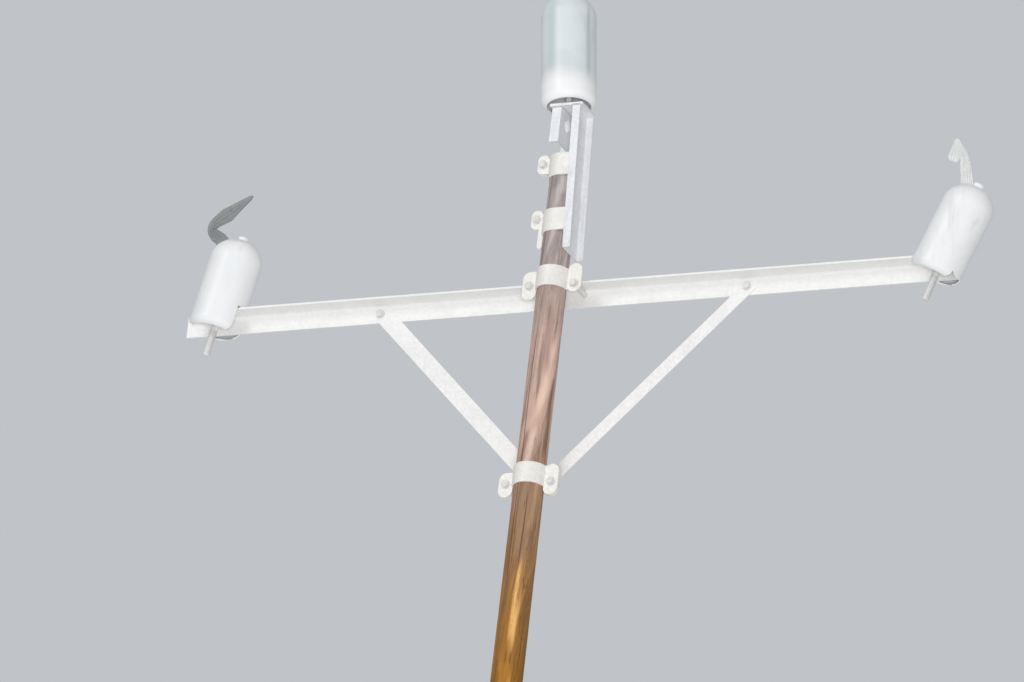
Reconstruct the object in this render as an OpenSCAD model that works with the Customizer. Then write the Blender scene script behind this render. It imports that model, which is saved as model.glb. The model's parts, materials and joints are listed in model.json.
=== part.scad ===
// Wooden utility pole with a steel crossarm, two braces, a pole-top bracket
// and three hooded pin insulators, in millimetres. The origin is the centre of
// the pole at the ground line, +Z is up, +X runs along the crossarm, and the
// crossarm is bolted to the +Y side of the pole.

/* [Pole] */
// Height of the pole above the ground line
pole_height = 7500; // [7300:10:8500]
// Diameter of the pole at its top
pole_top_d = 108; // [100:1:120]
// Diameter of the pole at the ground line
pole_ground_d = 178; // [150:1:220]
// How early the taper dies out towards the top
taper_power = 1.5; // [1:0.1:2.5]
// Chamfer round the top of the pole
pole_chamfer = 5; // [2:1:12]
// Gap between the pole and the steel that is clamped round it
pole_fit = 0.1; // [0.05:0.05:0.3]

/* [Crossarm] */
// Length of the crossarm
arm_length = 3048; // [2600:8:3400]
// Distance that the middle of the crossarm lies to the right of the pole
arm_shift = 30; // [-60:5:80]
// Width of each leg of the crossarm angle
arm_leg = 75; // [70:1:90]
// Thickness of the crossarm angle
arm_t = 8; // [6:1:10]
// Root radius of the crossarm angle
arm_root_r = 9; // [5:1:12]
// Height of the crossarm clamp below the top of the pole
arm_drop = 475; // [440:5:700]
// Height of the top of the crossarm above the middle of its clamp
arm_rise = 8; // [4:1:18]
// Depth of the rounded seat that the pole has in the crossarm
arm_seat = 20; // [12:1:24]
// Length that is clipped off the free edge of the top leg at each end
arm_clip_x = 50; // [20:1:60]
// Depth that is clipped off the free edge of the top leg at each end
arm_clip_y = 56; // [30:1:58]

/* [Crossarm clamp] */
// Height of the crossarm strap
strap_h = 80; // [60:1:84]
// Thickness of the straps and of their ears
strap_t = 6; // [5:0.5:8]
// Distance of the crossarm clamp's bolts from the outside of the strap
arm_ear_reach = 27; // [24:1:34]
// Width of the ears
ear_w = 56; // [46:1:58]
// Total height of each ear
ear_h = 112; // [100:1:124]
// Height of the top of the left ear above the middle of the crossarm strap
left_ear_rise = 40; // [36:1:56]
// Height of the top of the right ear above the middle of the crossarm strap
right_ear_rise = 62; // [40:1:64]
// Height of the clamp bolts below the middle of the crossarm strap
arm_bolt_drop = 18; // [14:1:24]
// Diameter of the bolts
bolt_d = 16; // [14:1:18]
// Clearance of the holes over the bolts, on the diameter
hole_clearance = 2; // [1:0.5:3]

/* [Braces] */
// Height of the brace clamp below the crossarm clamp
brace_drop = 787; // [640:1:960]
// Height of the bands of the brace clamp
band_h = 80; // [60:1:84]
// Distance of the brace clamp's bolts from the outside of the band
brace_ear_reach = 26; // [24:1:34]
// Gap between the front and back ears of the brace clamp
clamp_gap = 8; // [4:1:16]
// Height of the top of the left ears above the middle of the brace clamp
left_clamp_rise = 22; // [16:1:40]
// Height of the top of the right ears above the middle of the brace clamp
right_clamp_rise = 46; // [16:1:52]
// Depth of the bottom of the ears below the middle of the brace clamp
clamp_ear_drop = 75; // [70:1:90]
// Depth of the ears' bolts below the middle of the brace clamp
clamp_bolt_drop = 24; // [16:1:30]
// Depth of the braces' common stud below the middle of the brace clamp
foot_drop = 4; // [0:1:16]
// Diameter of the boss that carries the stud
boss_d = 40; // [34:1:48]
// Length of the boss past the back of the brace clamp
boss_h = 14; // [8:1:20]
// Distance of the left brace's upper bolt from the pole
left_head_x = 721; // [560:1:860]
// Distance of the right brace's upper bolt from the pole
right_head_x = 730; // [560:1:860]
// Depth of the braces' upper bolts below the top of the crossarm
head_drop = 41; // [38:1:50]
// Width of the face of the left brace
left_brace_w = 65; // [56:1:72]
// Width of the face of the right brace
right_brace_w = 50; // [44:1:60]
// Distance from the lower edge of the left brace to its bolts
left_gauge = 26; // [24:1:38]
// Distance from the lower edge of the right brace to its bolts
right_gauge = 32; // [20:1:34]
// Width of the outstanding leg of the braces
brace_leg = 50; // [30:1:60]
// Thickness of the braces
brace_t = 5; // [4:0.5:7]
// Length of the flat end of a brace past its bolt
brace_end = 28; // [24:1:36]
// Length of the flat end of a brace before it bends
brace_tab = 46; // [40:1:60]
// Clearance between a brace's upper end and the root of the crossarm
brace_clear = 2; // [1:0.5:4]

/* [Pole-top bracket] */
// Depth of the long channel, across the pole
channel_w = 130; // [128:1:140]
// Distance that the channels lie towards the near side of the pole
channel_shift = 3; // [0:1:3]
// Width of the flanges of the long channel
channel_flange = 30; // [20:1:40]
// Thickness of the channels
channel_t = 6; // [5:0.5:8]
// Distance that the long channel reaches below the top of the pole
channel_below = 374; // [340:1:400]
// Distance that the long channel reaches above the top of the pole
channel_above = 200; // [190:1:320]
// Depth that the long channel is let into the pole at its foot
channel_let_in = 0.5; // [0.4:0.1:3]
// Lean of the long channel towards the pole, in degrees
channel_lean = 2.3; // [1.5:0.1:3]
// Distance of the short leg's web to the left of the pole's axis
short_leg_x = 16; // [8:1:24]
// Depth of the short leg, across the pole
short_leg_w = 113; // [90:1:120]
// Width of the flanges of the short leg
short_leg_flange = 36; // [20:1:44]
// Height of the short leg
short_leg_h = 139; // [110:1:160]
// Diameter of the round hole in the short leg
leg_hole_d = 50; // [30:1:60]
// Depth of the round hole below the seat plate
leg_hole_drop = 50; // [40:1:70]
// Distance of the round hole from the pole's axis towards the far side
leg_hole_y = 6; // [-16:1:10]
// Thickness of the seat plate
seat_t = 10; // [8:1:14]
// Distance that the seat plate stands out past the flanges
seat_overhang = 8; // [2:1:14]
// Height of the bracket straps
bracket_strap_h = 88; // [76:1:92]
// Height of the upper bracket strap's middle below the top of the pole
upper_strap_drop = 30; // [24:1:44]
// Height of the lower bracket strap's middle below the top of the pole
lower_strap_drop = 252; // [200:1:300]
// Distance of the bracket bolts from the outside of the strap
bracket_ear_reach = 25; // [20:1:30]
// Width of the bracket straps' ears
bracket_ear_w = 44; // [38:1:48]
// Height of the bracket straps' ears
bracket_ear_h = 76; // [60:1:84]
// Height of the top of the ears above the middle of the bracket strap
bracket_ear_rise = 60; // [48:1:64]
// Width of the tongues that hang down beside the lower strap's ears
tongue_w = 20; // [16:1:26]
// Distance that the tongues hang below the lower strap
tongue_hang = 50; // [20:1:60]
// Gap between the two ears of a bracket strap
strap_gap = 12; // [8:1:16]

/* [Hoods] */
// Outside diameter of the side hoods
side_hood_d = 194; // [184:1:204]
// Height of the dome of the side hoods
side_dome_h = 84; // [70:1:97]
// Distance from the bend in a side pin down to the rim of its hood
side_rim_drop = 112; // [100:1:118]
// Outside diameter of the top hood
top_hood_d = 202; // [190:1:210]
// Height of the dome of the top hood
top_dome_h = 96; // [80:1:100]
// Height of the rim of the top hood above the seat plate
top_rim_gap = 14; // [12:1:30]
// Wall of the hoods
hood_wall = 5; // [3:0.5:6]
// Radius at which a hood's lower edge turns in
rim_r = 30; // [16:1:34]
// Angle through which a hood's lower edge turns in
rim_turn = 70; // [40:1:80]
// Gap between the crossarm and the slot that it passes through in a hood
slot_gap = 6; // [4:1:10]
// Gap between the ends of the crossarm and the ends of the slots
slot_end_gap = 16; // [8:1:24]
// Diameter of the knob on the crown of a hood
knob_d = 42; // [30:1:60]
// Height of the knob above the crown
knob_h = 16; // [8:1:24]

/* [Insulators and pins] */
// Height of an insulator
insulator_h = 232; // [220:2:260]
// Distance from the bend in a side pin up to the insulator
side_base_z = 11; // [6:1:24]
// Distance from the seat plate up to the top insulator, along its pin
top_base_z = 224; // [180:1:260]
// Diameter of the lowest shed of an insulator
shed_d = 160; // [130:1:164]
// Difference in diameter between one shed and the next
shed_step = 16; // [8:1:20]
// Height from one shed to the next
shed_pitch = 52; // [48:1:54]
// Diameter of the core of an insulator
core_d = 76; // [68:1:84]
// Diameter of the head of an insulator
head_d = 64; // [56:1:70]
// Diameter of the thimble at the head of a pin
thimble_d = 36; // [30:1:40]
// Depth that a thimble reaches into its insulator
thimble_depth = 130; // [110:1:150]
// Gap between a shaft and the hole that it stands in, on the radius
shaft_fit = 0.1; // [0.05:0.05:0.3]
// Diameter of the shank of a pin
pin_d = 24; // [20:1:26]
// Clearance of the crossarm's holes over the pins, on the diameter
pin_clearance = 4; // [3:0.5:5]
// Diameter of the collar of a pin and of its washers
collar_d = 48; // [44:1:49]
// Height of the collar of a pin
collar_h = 10; // [8:1:12]
// Distance along a side pin from the crossarm to the bend
bend_h = 36; // [34:1:44]
// Length of side pin below the top of the crossarm
side_stub = 173; // [120:1:200]
// Distance of the left pin from the left end of the crossarm
left_inset = 138; // [110:1:150]
// Distance of the right pin from the right end of the crossarm
right_inset = 46; // [44:1:90]
// Lean of the left pin to the right below its bend, in degrees
left_pin_lean = 11.5; // [4:0.5:14]
// Lean of the left hood to the right, in degrees
left_hood_lean = 11.8; // [4:0.1:16]
// Lean of the right pin to the right below its bend, in degrees
right_pin_lean = 18; // [8:0.5:20]
// Lean of the right hood to the right, in degrees
right_hood_lean = 22.4; // [10:0.1:24]
// Distance of the top pin's foot to the left of the pole's axis
top_pin_x = 14; // [0:1:20]
// Lean of the top pin to the left, in degrees
top_lean = 6.5; // [2:0.5:8]

/* [Hidden] */
$fn = 64;

// Amount by which a cutting shape passes a face
cut = 1;
// Number of rings in the profile of the pole
pole_rings = 24;
// Reach of a cutting shape that only has to pass what it cuts
far = 400;
// Sizes of bolt heads, nuts and washers as shares of the bolt's diameter
flats_share = 1.5;
head_share = 0.65;
nut_share = 0.8;
washer_share = 2.2;
washer_t = 3;
bolt_tail = 14;
// Thickness of a tapered washer on its thin side
washer_edge = 2.5;
// Amount by which a side pin is thicker at its bend
knuckle_swell = 2;

arm_band_z = pole_height - arm_drop;
arm_top_z = arm_band_z + arm_rise;
brace_band_z = arm_band_z - brace_drop;
upper_strap_z = pole_height - upper_strap_drop;
lower_strap_z = pole_height - lower_strap_drop;
bracket_bolt_rise = bracket_ear_rise - bracket_ear_h / 2;

// Radius of the pole at a height above the ground line
function pole_r(z) =
    pole_top_d / 2 + (pole_ground_d - pole_top_d) / 2
        * pow(max(0, 1 - z / pole_height), taper_power);

// Inside radius of a band of the given height clamped round the pole
function band_r(z, h) = pole_r(z - h / 2) + pole_fit;

arm_seat_r = pole_r(arm_top_z - arm_t) + pole_fit;
arm_edge_y = arm_seat_r - arm_seat;
arm_face_y = arm_edge_y + arm_leg - arm_t;
arm_back_y = arm_edge_y + arm_leg;
arm_left_x = arm_shift - arm_length / 2;
arm_right_x = arm_shift + arm_length / 2;
pin_y = arm_edge_y + (arm_leg - arm_t) / 2;
left_pin_x = arm_left_x + left_inset;
right_pin_x = arm_right_x - right_inset;

arm_strap_r = band_r(arm_band_z, strap_h);
arm_bolt_x = arm_strap_r + strap_t + arm_ear_reach;
arm_bolt_z = arm_band_z - arm_bolt_drop;
brace_band_r = band_r(brace_band_z, band_h);
clamp_bolt_x = brace_band_r + strap_t + brace_ear_reach;
clamp_bolt_z = brace_band_z - clamp_bolt_drop;
foot_z = brace_band_z - foot_drop;
foot_y = brace_band_r + strap_t + boss_h;
head_z = arm_top_z - head_drop;

channel_foot_z = pole_height - channel_below;
channel_foot_x = pole_r(channel_foot_z) - channel_let_in;
seat_z = pole_height + channel_above;
// Place of the back of the long channel's web at a height
function channel_x(z) = channel_foot_x - (z - channel_foot_z) * tan(channel_lean);

// Points of an arc about c, from angle a0 to angle a1
function arc(c, r, a0, a1, n) =
    [for (i = [0:n]) c + r * [cos(a0 + (a1 - a0) * i / n), sin(a0 + (a1 - a0) * i / n)]];

// Point of a dome of radius r and height h on z0, at an angle up from its edge
function dome_point(r, z0, h, a) = [r * cos(a), z0 + h * sin(a)];

// Height of a hood's crown above the head that touches its dome from inside
function crown_h(hood_d, dome_h) =
    dome_h - (dome_h - hood_wall)
        * sqrt(1 - pow((head_d / 2) / (hood_d / 2 - hood_wall), 2));

// Height of a tapered washer on the axis of its pin
function taper_h(lean) = collar_d / 2 * tan(lean) + washer_edge;

side_hood_h = side_rim_drop + side_base_z + insulator_h + crown_h(side_hood_d, side_dome_h);
top_hood_h = top_base_z - top_rim_gap + insulator_h + crown_h(top_hood_d, top_dome_h);

// Hexagonal prism along +Z, given its width across flats
module hexagon(flats, h) {
    cylinder(d = flats / cos(30), h = h, $fn = 6);
}

// Bolt along +Y that grips from y = 0 to y = grip, with washers and a nut
module bolt_y(grip) {
    washer_d = bolt_d * washer_share;
    color("darkgray") rotate([-90, 0, 0]) {
        translate([0, 0, -washer_t]) cylinder(d = washer_d, h = washer_t);
        translate([0, 0, -washer_t - bolt_d * head_share])
            hexagon(bolt_d * flats_share, bolt_d * head_share);
        translate([0, 0, -washer_t])
            cylinder(d = bolt_d, h = grip + 2 * washer_t + bolt_d * nut_share + bolt_tail);
        translate([0, 0, grip]) cylinder(d = washer_d, h = washer_t);
        translate([0, 0, grip + washer_t])
            hexagon(bolt_d * flats_share, bolt_d * nut_share);
    }
}

// Hole along Y for a bolt
module bolt_hole(x, z) {
    translate([x, 0, z]) rotate([90, 0, 0])
        cylinder(d = bolt_d + hole_clearance, h = 2 * far, center = true);
}

// Profile of an angle with its heel at the origin and its legs along +X and +Y
module angle_profile(leg, t, root_r) {
    square([leg, t]);
    square([t, leg]);
    translate([t, t]) difference() {
        square(root_r);
        translate([root_r, root_r]) circle(root_r);
    }
}

// Channel profile with the back of its web on x = 0 and its flanges along +X
module channel_profile(w, flange) {
    translate([0, -w / 2]) square([channel_t, w]);
    for (side = [-1, 1])
        scale([1, side]) {
            translate([0, w / 2 - channel_t]) square([flange, channel_t]);
            translate([channel_t, w / 2 - 2 * channel_t]) difference() {
                square(channel_t);
                translate([channel_t, 0]) circle(channel_t);
            }
        }
}

// Upright plate shape with round ends, centred on x = 0, from z0 to z1
module obround(w, z0, z1) {
    translate([-w / 2, z0 + w / 2]) square([w, z1 - z0 - w]);
    translate([0, z0 + w / 2]) circle(d = w);
    translate([0, z1 - w / 2]) circle(d = w);
}

// Half of a band round the origin, on the -Y side of y = -gap / 2
module half_band(r, h, gap) {
    outer_r = r + strap_t;
    translate([0, 0, -h / 2]) linear_extrude(h) difference() {
        circle(outer_r);
        circle(r);
        translate([-far, -gap / 2]) square(2 * far);
    }
}

// Ear with its back on y = -gap / 2: an arm of height h from x0 out to a
// round-ended plate of width w that is centred on x1 and reaches from z0 to z1
module ear(x0, x1, h, gap, w, z0, z1) {
    arm_z0 = max(-h / 2, z0);
    arm_z1 = min(h / 2, z1);
    translate([0, -gap / 2, 0]) rotate([90, 0, 0]) linear_extrude(strap_t) {
        translate([x0, arm_z0]) square([x1 - x0, arm_z1 - arm_z0]);
        translate([x1, 0]) obround(w, z0, z1);
    }
}

module pole() {
    color("rosybrown") difference() {
        rotate_extrude() polygon(concat(
            [[0, 0]],
            [for (i = [0:pole_rings - 1])
                [pole_r(pole_height * i / pole_rings), pole_height * i / pole_rings]],
            [[pole_r(pole_height - pole_chamfer), pole_height - pole_chamfer],
             [pole_top_d / 2 - pole_chamfer, pole_height],
             [0, pole_height]]
        ));
        on_channel() translate([-pole_fit, -far / 2, -cut])
            cube([far, far, channel_below + 4 * cut]);
    }
}

// Top leg's corner that is clipped away at an end, with the arm towards +X
module clipped_corner() {
    translate([0, 0, arm_top_z - arm_t - cut])
        linear_extrude(arm_t + 2 * cut)
            polygon([[-cut, arm_edge_y - cut], [arm_clip_x, arm_edge_y - cut],
                     [arm_clip_x, arm_edge_y], [0, arm_edge_y + arm_clip_y],
                     [-cut, arm_edge_y + arm_clip_y]]);
}

module crossarm() {
    color("gainsboro") difference() {
        translate([arm_left_x, arm_back_y, arm_top_z])
            rotate([90, 0, 90]) linear_extrude(arm_length)
                rotate(180) angle_profile(arm_leg, arm_t, arm_root_r);
        translate([0, 0, arm_top_z - 2 * arm_t]) cylinder(r = arm_seat_r, h = 4 * arm_t);
        translate([arm_left_x, 0, 0]) clipped_corner();
        translate([arm_right_x, 0, 0]) mirror([1, 0, 0]) clipped_corner();
        bolt_hole(-arm_bolt_x, arm_bolt_z);
        bolt_hole(arm_bolt_x, arm_bolt_z);
        bolt_hole(-left_head_x, head_z);
        bolt_hole(right_head_x, head_z);
        at_pin(left_pin_x, left_pin_lean) pin_hole();
        at_pin(right_pin_x, right_pin_lean) pin_hole();
    }
}
module pin_hole() {
    translate([0, 0, -2 * arm_t]) cylinder(d = pin_d + pin_clearance, h = 4 * arm_t);
}

module crossarm_strap() {
    color("whitesmoke") translate([0, 0, arm_band_z]) difference() {
        union() {
            half_band(arm_strap_r, strap_h, 0);
            ear(arm_strap_r, arm_bolt_x, strap_h, 0, ear_w,
                right_ear_rise - ear_h, right_ear_rise);
            mirror([1, 0, 0]) ear(arm_strap_r, arm_bolt_x, strap_h, 0, ear_w,
                left_ear_rise - ear_h, left_ear_rise);
        }
        bolt_hole(-arm_bolt_x, -arm_bolt_drop);
        bolt_hole(arm_bolt_x, -arm_bolt_drop);
    }
}
module crossarm_bolt(side) {
    translate([side * arm_bolt_x, -strap_t, arm_bolt_z]) bolt_y(strap_t + arm_back_y);
}
module crossarm_bolt_left() { crossarm_bolt(-1); }
module crossarm_bolt_right() { crossarm_bolt(1); }

module brace_clamp_front() {
    color("whitesmoke") translate([0, 0, brace_band_z]) difference() {
        union() {
            half_band(brace_band_r, band_h, clamp_gap);
            ear(brace_band_r, clamp_bolt_x, band_h, clamp_gap, ear_w,
                -clamp_ear_drop, right_clamp_rise);
            mirror([1, 0, 0]) ear(brace_band_r, clamp_bolt_x, band_h, clamp_gap, ear_w,
                -clamp_ear_drop, left_clamp_rise);
        }
        bolt_hole(-clamp_bolt_x, -clamp_bolt_drop);
        bolt_hole(clamp_bolt_x, -clamp_bolt_drop);
    }
}
module brace_clamp_back() { mirror([0, 1, 0]) brace_clamp_front(); }
module brace_clamp_bolt(side) {
    translate([side * clamp_bolt_x, -clamp_gap / 2 - strap_t, clamp_bolt_z])
        bolt_y(clamp_gap + 2 * strap_t);
}
module brace_clamp_bolt_left() { brace_clamp_bolt(-1); }
module brace_clamp_bolt_right() { brace_clamp_bolt(1); }

// Boss on the back of the clamp with the stud that both braces hang on
module brace_stud() {
    boss_y = brace_band_r;
    color("silver") difference() {
        translate([0, boss_y, foot_z]) rotate([-90, 0, 0]) {
            cylinder(d = boss_d, h = foot_y - boss_y);
            cylinder(d = bolt_d, h = foot_y - boss_y + 2 * brace_t + washer_t
                + bolt_d * nut_share + bolt_tail);
        }
        translate([0, 0, foot_z - boss_d]) cylinder(r = brace_band_r + strap_t, h = 2 * boss_d);
    }
}
module brace_stud_nut() {
    color("darkgray") translate([0, foot_y + 2 * brace_t, foot_z]) rotate([-90, 0, 0])
        difference() {
            union() {
                cylinder(d = bolt_d * washer_share, h = washer_t);
                translate([0, 0, washer_t]) hexagon(bolt_d * flats_share, bolt_d * nut_share);
            }
            translate([0, 0, -cut]) cylinder(r = bolt_d / 2 + shaft_fit, h = 2 * bolt_d);
        }
}

// Brace from the stud up to its head bolt on the +X side, with flat ends and an
// outstanding leg on the far side of its upper edge; its foot starts at y
module brace(head_x, w, gauge, y) {
    rise = head_z - foot_z;
    span = norm([head_x, rise]);
    bend_0 = brace_tab;
    bend_1 = span - brace_tab;
    head_y = arm_face_y - brace_t;
    pitch = (head_y - y) / (bend_1 - bend_0);
    plate = [
        [-brace_end, y], [bend_0, y], [bend_1, head_y],
        [span + brace_end, head_y], [span + brace_end, head_y + brace_t],
        [bend_1, head_y + brace_t], [bend_0, y + brace_t],
        [-brace_end, y + brace_t]
    ];
    // The leg grows from the middle of the plate's thickness
    leg_0 = y + brace_t / 2;
    leg_1 = head_y + brace_t / 2;
    reach = brace_leg - brace_t / 2;
    leg = [
        [bend_0 + brace_leg, leg_0 + pitch * brace_leg],
        [bend_1 - brace_leg, leg_1 - pitch * brace_leg],
        [bend_1 - 2 * brace_leg, leg_1 - pitch * 2 * brace_leg + reach],
        [bend_0 + 2 * brace_leg, leg_0 + pitch * 2 * brace_leg + reach]
    ];
    color("gainsboro") difference() {
        translate([0, 0, foot_z]) rotate([0, -atan2(rise, head_x), 0]) {
            translate([0, 0, -gauge]) linear_extrude(w) polygon(plate);
            translate([0, 0, w - gauge - brace_t]) linear_extrude(brace_t) polygon(leg);
        }
        translate([head_x - far, -far, arm_top_z - arm_t - arm_root_r - brace_clear])
            cube(2 * far);
        bolt_hole(0, foot_z);
        bolt_hole(head_x, head_z);
    }
}
module brace_left() {
    mirror([1, 0, 0]) brace(left_head_x, left_brace_w, left_gauge, foot_y);
}
module brace_right() {
    brace(right_head_x, right_brace_w, right_gauge, foot_y + brace_t);
}
module brace_bolt(x) {
    translate([x, arm_face_y - brace_t, head_z]) bolt_y(brace_t + arm_t);
}
module brace_bolt_left() { brace_bolt(-left_head_x); }
module brace_bolt_right() { brace_bolt(right_head_x); }

// Leans its children with the long channel, whose foot is at the origin
module on_channel() {
    translate([channel_foot_x, 0, channel_foot_z]) rotate([0, -channel_lean, 0]) children();
}

module bracket_channel() {
    color("lightgray") difference() {
        on_channel() translate([0, -channel_shift, 0])
            linear_extrude(channel_below + channel_above + channel_flange)
                channel_profile(channel_w, channel_flange);
        translate([-far / 2, -far / 2, seat_z]) cube(far);
    }
}

module bracket_short_leg() {
    leg_z = seat_z - short_leg_h;
    color("lightgray") difference() {
        translate([-short_leg_x, -channel_shift, leg_z])
            linear_extrude(short_leg_h) mirror([1, 0])
                channel_profile(short_leg_w, short_leg_flange);
        translate([-short_leg_x, leg_hole_y, seat_z - leg_hole_drop]) rotate([0, 90, 0])
            cylinder(d = leg_hole_d, h = 4 * channel_t, center = true);
    }
}

module bracket_seat_plate() {
    x0 = -short_leg_x - short_leg_flange - seat_overhang;
    x1 = channel_x(seat_z) + channel_flange + seat_overhang;
    color("lightgray") translate([x0, -channel_shift - channel_w / 2, seat_z])
        cube([x1 - x0, channel_w, seat_t]);
}

// Half of a bracket strap on the -Y side, from its ear on the left round the
// pole to the back of the long channel's web
module bracket_strap(z, hang) {
    r = band_r(z, bracket_strap_h);
    outer_r = r + strap_t;
    bolt_x = outer_r + bracket_ear_reach;
    half_h = bracket_strap_h / 2;
    ear_z0 = bracket_ear_rise - bracket_ear_h;
    color("whitesmoke") difference() {
        translate([0, 0, z]) {
            difference() {
                half_band(r, bracket_strap_h, strap_gap);
                translate([0, -far, -far]) cube(2 * far);
            }
            translate([0, -outer_r, -half_h])
                cube([channel_foot_x + cut, strap_t, bracket_strap_h]);
            mirror([1, 0, 0]) ear(r, bolt_x, bracket_strap_h, strap_gap,
                bracket_ear_w, ear_z0, bracket_ear_rise);
            if (hang > 0)
                translate([-r - tongue_w / 2, -strap_gap / 2, 0]) rotate([90, 0, 0])
                    linear_extrude(strap_t) obround(tongue_w, -half_h - hang, 0);
        }
        on_channel() translate([0, -far, -far]) cube([far, 2 * far, 3 * far]);
        bolt_hole(-bolt_x, z + bracket_bolt_rise);
    }
}
module bracket_strap_bolt(z) {
    bolt_x = band_r(z, bracket_strap_h) + strap_t + bracket_ear_reach;
    translate([-bolt_x, -strap_gap / 2 - strap_t, z + bracket_bolt_rise])
        bolt_y(strap_gap + 2 * strap_t);
}
module upper_strap_front() { bracket_strap(upper_strap_z, 0); }
module upper_strap_back() { mirror([0, 1, 0]) bracket_strap(upper_strap_z, 0); }
module upper_strap_bolt() { bracket_strap_bolt(upper_strap_z); }
module lower_strap_front() { bracket_strap(lower_strap_z, tongue_hang); }
module lower_strap_back() { mirror([0, 1, 0]) bracket_strap(lower_strap_z, tongue_hang); }
module lower_strap_bolt() { bracket_strap_bolt(lower_strap_z); }

// Thin hood with its rim at z = 0, whose lower edge turns in
module hood(d, h, dome_h) {
    r = d / 2;
    inner_r = r - hood_wall;
    inner_dome_h = dome_h - hood_wall;
    shoulder_z = h - dome_h;
    turn_c = [r - rim_r, rim_r * sin(rim_turn)];
    knob_round = knob_h / 2;
    knob_a = acos(knob_d / 2 / r);
    steps = 20;
    color("ghostwhite") rotate_extrude() polygon(concat(
        arc(turn_c, rim_r, -rim_turn, 0, 8),
        [for (i = [0:steps]) dome_point(r, shoulder_z, dome_h, knob_a * i / steps)],
        arc([knob_d / 2 - knob_round, h + knob_h - knob_round], knob_round, 0, 90, 6),
        [[0, h + knob_h], [0, h - hood_wall]],
        [for (i = [steps - 1:-1:0])
            dome_point(inner_r, shoulder_z, inner_dome_h, 90 * i / steps)],
        arc(turn_c, rim_r - hood_wall, 0, -rim_turn, 8)
    ));
}

// Pin insulator with its base at z = 0, three sheds and a flat head
module insulator() {
    core_r = core_d / 2;
    bore_r = thimble_d / 2 + shaft_fit;
    head_r = head_d / 2;
    first_z = 44;
    droop = 24;
    lip = 7;
    crown = 14;
    foot_chamfer = 6;
    groove_depth = 7;
    groove_h = 16;
    groove_slope = 10;
    head_h = 18;
    neck_r = head_r - groove_depth;
    neck_z = insulator_h - head_h - groove_slope - groove_h;
    color("aliceblue") rotate_extrude() polygon(concat(
        [[bore_r, 0], [core_r - foot_chamfer, 0], [core_r, foot_chamfer]],
        [for (i = [0:2]) for (p = [
            [core_r, first_z + i * shed_pitch],
            [shed_d / 2 - i * shed_step / 2, first_z + i * shed_pitch - droop],
            [shed_d / 2 - i * shed_step / 2, first_z + i * shed_pitch - droop + lip],
            [core_r, first_z + i * shed_pitch + crown]]) p],
        [[neck_r, neck_z], [neck_r, neck_z + groove_h],
         [head_r, insulator_h - head_h], [head_r, insulator_h], [0, insulator_h],
         [0, thimble_depth], [bore_r, thimble_depth]]
    ));
}

// Places its children at a side pin's foot on the crossarm, with +Z along it
module at_pin(x, lean) {
    translate([x, pin_y, arm_top_z]) rotate([0, lean, 0]) children();
}
// Places its children at a side pin's bend, with +Z along its upper part
module at_bend(x, lean, hood_lean) {
    at_pin(x, lean) translate([0, 0, bend_h]) rotate([0, hood_lean - lean, 0]) children();
}

module side_hood(x, lean, hood_lean) {
    color("ghostwhite") difference() {
        at_bend(x, lean, hood_lean) translate([0, 0, -side_rim_drop])
            hood(side_hood_d, side_hood_h, side_dome_h);
        translate([arm_left_x - slot_end_gap, arm_edge_y - slot_gap,
                   arm_top_z + slot_gap - 2 * far])
            cube([arm_length + 2 * slot_end_gap, arm_leg + 2 * slot_gap, 2 * far]);
    }
}
module side_insulator(x, lean, hood_lean) {
    at_bend(x, lean, hood_lean) translate([0, 0, side_base_z]) insulator();
}
module side_pin(x, lean, hood_lean) {
    color("silver") {
        at_pin(x, lean) {
            translate([0, 0, -side_stub]) cylinder(d = pin_d, h = side_stub + bend_h);
            translate([0, 0, taper_h(lean)]) cylinder(d = collar_d, h = collar_h);
            translate([0, 0, bend_h]) sphere(d = pin_d + knuckle_swell);
        }
        at_bend(x, lean, hood_lean) {
            cylinder(d = pin_d, h = side_base_z + cut);
            translate([0, 0, side_base_z]) cylinder(d = thimble_d, h = thimble_depth);
        }
    }
}

// Tapered washer round a pin, from the crossarm's plane up to the collar
module tapered_washer(lean) {
    difference() {
        translate([0, 0, -collar_d])
            cylinder(d = collar_d, h = collar_d + taper_h(abs(lean)));
        rotate([0, -lean, 0]) translate([-far / 2, -far / 2, -far]) cube(far);
        translate([0, 0, -collar_d - cut])
            cylinder(r = pin_d / 2 + shaft_fit, h = 3 * collar_d);
    }
}
module washer_upper(x, lean) {
    color("silver") at_pin(x, lean) tapered_washer(lean);
}
module washer_lower(x, lean) {
    color("silver") at_pin(x, lean) translate([0, 0, -arm_t / cos(lean)])
        mirror([0, 0, 1]) tapered_washer(-lean);
}
// Washer and nut under the lower tapered washer
module pin_nut(x, lean) {
    nut_h = pin_d * nut_share;
    color("darkgray") at_pin(x, lean)
        translate([0, 0, -arm_t / cos(lean) - taper_h(lean)]) difference() {
            union() {
                translate([0, 0, -washer_t]) cylinder(d = collar_d, h = washer_t);
                translate([0, 0, -washer_t - nut_h]) hexagon(pin_d * flats_share, nut_h);
            }
            translate([0, 0, -collar_d])
                cylinder(r = pin_d / 2 + shaft_fit, h = 2 * collar_d);
        }
}

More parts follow.
